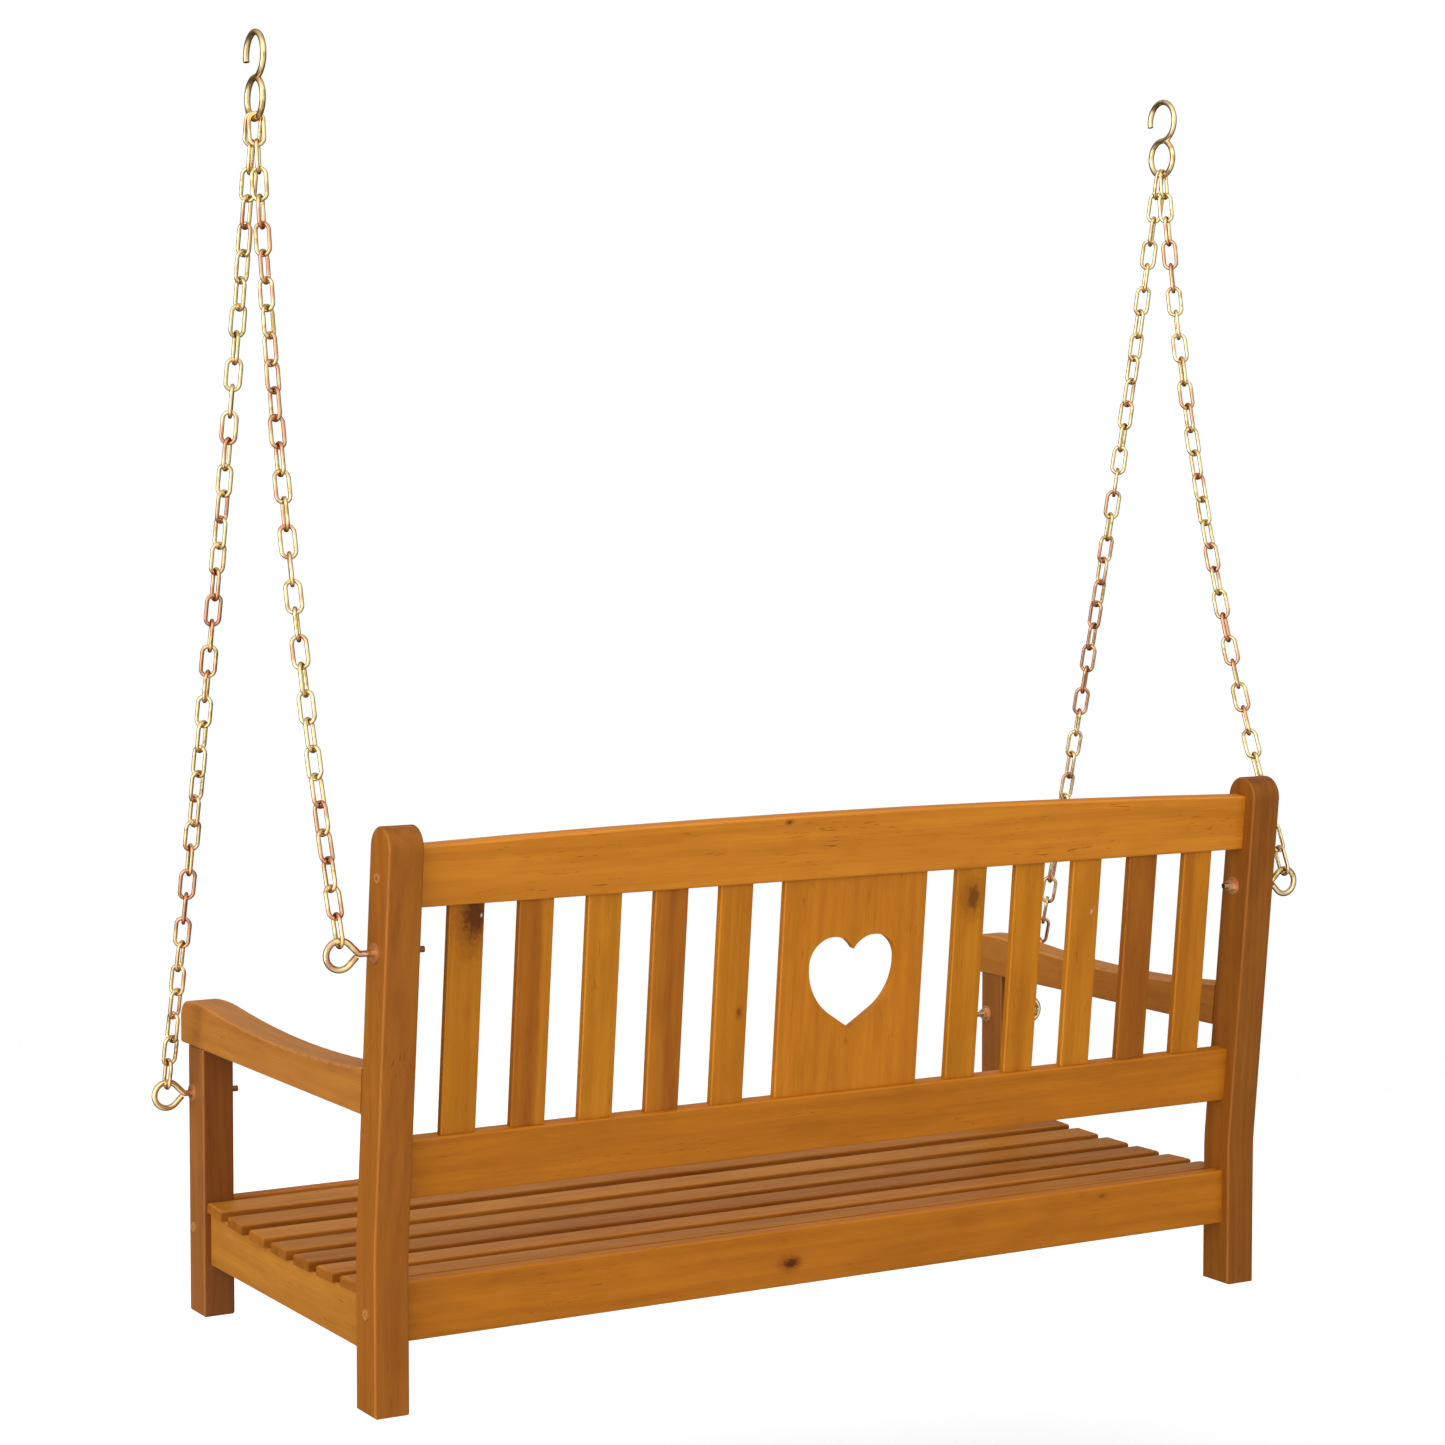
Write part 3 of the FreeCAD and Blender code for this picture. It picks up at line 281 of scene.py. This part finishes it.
def board_kinds():
    # The front posts, the left rear post and the seat slats get painted shade on their narrow
    # faces.
    kinds = {}
    for side in ("left", "right"):
        kinds["front_post_" + side] = dict(grain="z", colour=tone(150, 94, 42), rings=0.20,
                                           sides=1.0)
        kinds["armrest_" + side] = dict(grain="y", colour=tone(176, 114, 46))
        kinds["seat_side_rail_" + side] = dict(grain="y", colour=tone(180, 118, 42))
    kinds["rear_post_left"] = dict(grain="z", colour=tone(157, 94, 27), rings=0.20, sides=0.22)
    # The right rear post's darker tone is partly its own and partly painted shade.
    kinds["rear_post_right"] = dict(grain="z", colour=tone(139, 82, 23), rings=0.28)
    kinds["seat_front_rail"] = dict(grain="x", colour=tone(172, 102, 22))
    kinds["seat_centre_support"] = dict(grain="y", colour=tone(166, 100, 24))
    kinds["seat_rear_rail"] = dict(grain="x", colour=tone(174, 104, 20), knots=(
        (0.073, 0.229, -1.369, 0.0075, 0.9), (-0.372, 0.229, -1.340, 0.0030, 0.35)))
    kinds["back_top_rail"] = dict(grain="x", colour=tone(195, 122, 32), leaned=True, pores=0.75,
                                  knots=((0.100, 0.264, -0.853, 0.0030, 0.8),))
    kinds["back_lower_rail"] = dict(grain="x", colour=tone(176, 105, 20), leaned=True)
    kinds["heart_panel"] = dict(grain="z", colour=tone(187, 115, 25), leaned=True, rings=0.16)
    slats = {
        1: dict(colour=tone(177, 110, 20), knots=((0.4860, 0.254, -0.9350, 0.0200, 0.85),),
                flecks=((0.4715, 0.250, -0.9440, 0.0048), (0.4680, 0.250, -0.9520, 0.0032),
                        (0.4790, 0.250, -0.9350, 0.0024))),
        2: dict(colour=tone(185, 116, 24), heart=0.85, heart_from=-0.009, heart_side=-1),
        3: dict(colour=tone(185, 118, 24), rings=0.3),
        4: dict(colour=tone(179, 110, 26), heart=0.75, heart_from=-0.004, heart_side=1,
                rings=0.4),
        5: dict(colour=tone(183, 114, 22), knots=((0.150, 0.243, -1.070, 0.0040, 0.5),)),
        6: dict(colour=tone(183, 115, 21), knots=((-0.163, 0.252, -0.957, 0.0120, 0.65),)),
        7: dict(colour=tone(185, 116, 22)),
        8: dict(colour=tone(187, 118, 25), flecks=((-0.338, 0.246, -0.986, 0.0026),
                                                   (-0.342, 0.246, -0.980, 0.0016))),
        9: dict(colour=tone(154, 90, 22), rings=0.35),
        10: dict(colour=tone(181, 112, 22), heart=0.4, heart_from=0.002, heart_side=-1),
    }
    for number, kind in slats.items():
        kinds["back_slat_%d" % number] = dict(grain="z", leaned=True, **kind)
    seat = ((177, 113, 37), (167, 104, 32), (179, 115, 37), (169, 107, 35),
            (161, 99, 30), (177, 111, 35), (171, 107, 34))
    for number, shade in enumerate(seat, start=1):
        kinds["seat_slat_%d" % number] = dict(grain="x", colour=tone(*shade), rings=0.3,
                                              sides=0.95)
    return kinds


FIRST_SEED = 7
for seed, (name, kind) in enumerate(sorted(board_kinds().items()), start=FIRST_SEED):
    timber(name, seed=seed, **kind)


# ---------------------------------------------------------------- yellow zinc

DUST = tone(150, 104, 66)
GRAZED = tone(200, 142, 84)
THREAD_CREST = tone(232, 164, 124)
# Painted shade for the roots of the thread.
THREAD_ROOT_SHADE = tone(96, 56, 36)
THREAD_PITCH = 0.00125
THREAD_END = 0.5585


def zinc(name, gold, rose, olive, rough=0.16, metal=1.0, thread_from=None):
    """Passivated zinc plating: pale gold that drifts to rose and green-gold from link to link.

    metal is how far the plating is a clean metal, as against dull and dusty. thread_from is
    the distance from the middle of the bench inside which bolts are threaded.
    """
    t = Tree(name)
    place = t.add("TexCoord").outputs["Object"]
    batch = t.noise(place, 5.0, 1.0)
    each = t.noise(place, 34.0, 1.0)
    streak = t.noise(place, 120.0, 2.0, 0.5)
    fine = t.noise(place, 900.0, 2.0, 0.6)
    rosy = t.ramp(t.math("MULTIPLY_ADD", each, 0.6, t.math("MULTIPLY", batch, 0.6)), 0.60, 0.72)
    colour = t.mix(rosy, gold, rose)
    green = t.ramp(t.math("MULTIPLY_ADD", streak, 0.5, t.math("MULTIPLY", each, 0.5)), 0.46, 0.36)
    colour = t.mix(t.math("MULTIPLY", green, 0.8), colour, olive)
    colour = t.mix(t.math("MULTIPLY", t.ramp(fine, 0.50, 0.80), 0.30), colour, DUST)
    t.shader.inputs["Metallic"].default_value = metal
    # The plating turns brown, not white, where it is seen along its surface.
    t.shader.inputs["Specular Tint"].default_value = GRAZED
    t.feed(t.shader.inputs["Roughness"], t.math("MULTIPLY_ADD", fine, 0.18, rough - 0.07))
    normal = t.bump(fine, 0.12, 0.0002)
    if thread_from is not None:
        x = t.split(place)[0]
        inner = t.math("LESS_THAN", t.math("ABSOLUTE", x), thread_from)
        ridge = t.math("SINE", t.math("MULTIPLY", x, 2 * math.pi / THREAD_PITCH))
        # Painted shade darkens the roots of the thread.
        groove_shade = t.math("MULTIPLY", t.ramp(ridge, 0.2, -0.6), inner)
        colour = t.mix(t.math("MULTIPLY", inner, 0.8), colour, THREAD_CREST)
        colour = t.mix(t.math("MULTIPLY", groove_shade, 0.6), colour, THREAD_ROOT_SHADE)
        normal = t.bump(t.math("MULTIPLY", ridge, inner), 0.6, 0.0005, normal)
    t.feed(t.shader.inputs["Base Color"], colour)
    t.feed(t.shader.inputs["Normal"], normal)
    return t.material


CHAMPAGNE = tone(254, 230, 174)
ROSE = tone(222, 164, 124)
OLIVE = tone(190, 156, 80)
WIRE = zinc("zinc_wire", CHAMPAGNE, ROSE, OLIVE)
BOLT = zinc("zinc_bolt", CHAMPAGNE, ROSE, OLIVE, thread_from=THREAD_END)
COPPERY = zinc("zinc_coppery", tone(216, 150, 98), tone(202, 130, 86), tone(208, 158, 98),
               rough=0.36, metal=0.5)
NUT = zinc("zinc_nut", CHAMPAGNE, ROSE, OLIVE, rough=0.26, metal=0.75)
BRASSY = zinc("zinc_brassy", tone(216, 152, 80), tone(202, 134, 74), tone(190, 142, 72),
              rough=0.34, metal=0.4)


def soften(name, width, segments=2):
    """Break the sharp ends and machined edges of a metal part."""
    bevel = NODES[name].modifiers.new("soften", "BEVEL")
    bevel.width = width
    bevel.segments = segments
    bevel.limit_method = "ANGLE"
    bevel.angle_limit = math.radians(40)


for name in NODES:
    if name.startswith(("s_hook", "top_link", "chain")):
        dress(name, WIRE)
    elif name.startswith(("eye_bolt_rear", "eye_bolt_front")):
        dress(name, BOLT)
dress("eye_bolt_washers", COPPERY)
dress("eye_bolt_nuts", NUT)
dress("frame_screws", BRASSY)
for name in ("s_hook_left", "s_hook_right"):
    soften(name, 0.0015, 3)
for end in ("rear", "front"):
    for side in ("left", "right"):
        soften("eye_bolt_%s_%s" % (end, side), 0.0010)
soften("eye_bolt_nuts", 0.0008)
soften("eye_bolt_washers", 0.0004)
soften("frame_screws", 0.0004)


# ---------------------------------------------------------------- floor, light, camera

FLOOR_DROP = 0.40
FLOOR_RADIUS = 12
# The distances from the middle where the floor is gone and where it begins to fade.
FADE_OUT = (5.0, 1.2)
floor_mesh = bpy.data.meshes.new("floor")
shape = bmesh.new()
bmesh.ops.create_circle(shape, cap_ends=True, radius=FLOOR_RADIUS, segments=96)
shape.to_mesh(floor_mesh)
shape.free()
floor = bpy.data.objects.new("floor", floor_mesh)
bpy.context.collection.objects.link(floor)
floor.location.z = CAD_BOX[0].z - FLOOR_DROP
# The floor fades into the backdrop, and throws no light of its own up at the seat.
paint = Tree("floor_paint")
paint.shader.inputs["Base Color"].default_value = (0.93, 0.93, 0.93, 1)
paint.shader.inputs["Roughness"].default_value = 0.9
paint.shader.inputs["Specular IOR Level"].default_value = 0.0
spot = paint.split(paint.add("TexCoord").outputs["Object"])
radius = paint.math("SQRT", paint.math("ADD", paint.math("POWER", spot[0], 2.0),
                                       paint.math("POWER", spot[1], 2.0)))
paint.feed(paint.shader.inputs["Alpha"], paint.ramp(radius, *FADE_OUT))
floor.data.materials.append(paint.material)
floor.visible_diffuse = False
floor.visible_glossy = False


def lamp(name, where, aim, size, watts):
    data = bpy.data.lights.new(name, "AREA")
    data.shape = "DISK"
    data.size = size
    data.energy = watts
    item = bpy.data.objects.new(name, data)
    bpy.context.collection.objects.link(item)
    item.location = where
    item.rotation_mode = "QUATERNION"
    item.rotation_quaternion = (Vector(aim) - Vector(where)).to_track_quat("-Z", "Y")
    # The metal mirrors the room, set up further down: lamps this small would burn it out.
    item.visible_glossy = False
    item.visible_camera = False


BENCH = Vector((0, 0, -1.15))
lamp("key", (0.9, 3.6, 0.4), BENCH, 2.6, 26)
lamp("top", (0.0, 0.2, 2.4), BENCH, 2.4, 24)
lamp("front", (-1.2, -3.4, 0.8), BENCH, 2.2, 60)
lamp("side", (1.7, 0.1, -0.85), (0.6, -0.05, -1.1), 1.0, 3)

# White to the camera. To everything else a dimmer room, brighter overhead and on the side
# that the camera stands on, with a tall bright panel to the left of it.
CAMERA_SIDE = (0.515, 0.857, 0.0)
PANEL_SIDE = (0.97, 0.24, 0.0)
world = bpy.data.worlds.new("studio")
bpy.context.scene.world = world
sky = Tree("studio", world)
backdrop = sky.add("Background")
for part in (sky.shader, backdrop):
    part.inputs["Color"].default_value = (1, 1, 1, 1)
heading = sky.add("TexCoord").outputs["Generated"]


def lit_from(side, low, high):
    """Light that comes from one side of the room, wide or narrow."""
    toward = sky.add("VectorMath", operation="DOT_PRODUCT")
    sky.feed(toward.inputs[0], heading)
    toward.inputs[1].default_value = side
    return sky.ramp(toward.outputs["Value"], low, high)


overhead = sky.ramp(sky.split(heading)[2], -0.2, 0.8)
glow = sky.math("MULTIPLY_ADD", lit_from(CAMERA_SIDE, -0.25, 0.75), 0.78, 0.09)
glow = sky.math("MULTIPLY_ADD", lit_from(PANEL_SIDE, 0.78, 0.95), 1.6, glow)
sky.feed(sky.shader.inputs["Strength"], sky.math("MULTIPLY_ADD", overhead, 0.45, glow))
choice = sky.add("MixShader")
sky.feed(choice.inputs[0], sky.add("LightPath").outputs["Is Camera Ray"])
sky.feed(choice.inputs[1], sky.shader.outputs[0])
sky.feed(choice.inputs[2], backdrop.outputs[0])
sky.feed(sky.nodes["World Output"].inputs["Surface"], choice.outputs[0])

camera_data = bpy.data.cameras.new("camera")
camera = bpy.data.objects.new("camera", camera_data)
bpy.context.collection.objects.link(camera)
bpy.context.scene.camera = camera
camera_data.sensor_width = 36.0
camera_data.lens = 81.14
camera_data.shift_x = -0.0345
camera_data.shift_y = -0.0444
camera_data.clip_start = 0.1
camera_data.clip_end = 200.0
AZIMUTH, ELEVATION, ROLL = (math.radians(angle) for angle in (31.014, 3.05, 0.098))
CAMERA_AT = (2.00487, 3.39874, -0.47261)
backwards = Vector((math.sin(AZIMUTH) * math.cos(ELEVATION),
                    math.cos(AZIMUTH) * math.cos(ELEVATION), math.sin(ELEVATION)))
level_right = (-backwards).cross(Vector((0, 0, 1))).normalized()
level_up = level_right.cross(-backwards)
right = level_right * math.cos(ROLL) + level_up * math.sin(ROLL)
up = level_up * math.cos(ROLL) - level_right * math.sin(ROLL)
axes = Matrix((right, up, backwards)).transposed()
camera.matrix_world = Matrix.Translation(CAMERA_AT) @ axes.to_4x4()

bpy.context.scene.view_settings.view_transform = "Standard"
